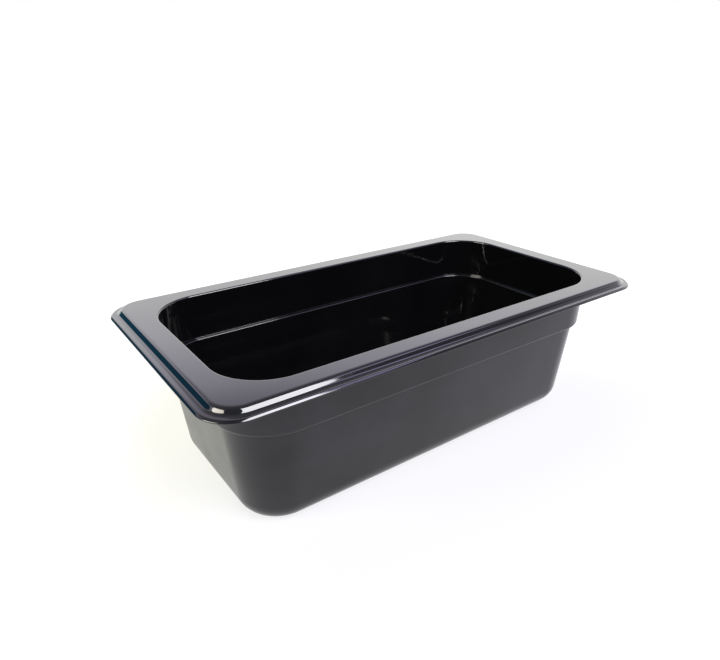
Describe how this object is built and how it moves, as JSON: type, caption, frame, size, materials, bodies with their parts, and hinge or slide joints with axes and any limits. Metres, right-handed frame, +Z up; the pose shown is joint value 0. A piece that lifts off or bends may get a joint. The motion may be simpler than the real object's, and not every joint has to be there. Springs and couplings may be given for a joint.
{
  "type": "food pan",
  "caption": "Rectangular third-size food pan with a stepped hanging lip, rounded corners, a stacking ledge and tapered walls.",
  "frame": {"origin": "centre of the base's underside", "axes": "+X along the long sides, +Y across the pan, +Z up out of the opening"},
  "size_m": [0.325, 0.176, 0.1],
  "materials": {
    "polycarbonate": "glossy"
  },
  "bodies": {
    "root": {"pan": "polycarbonate"}
  },
  "joints": []
}
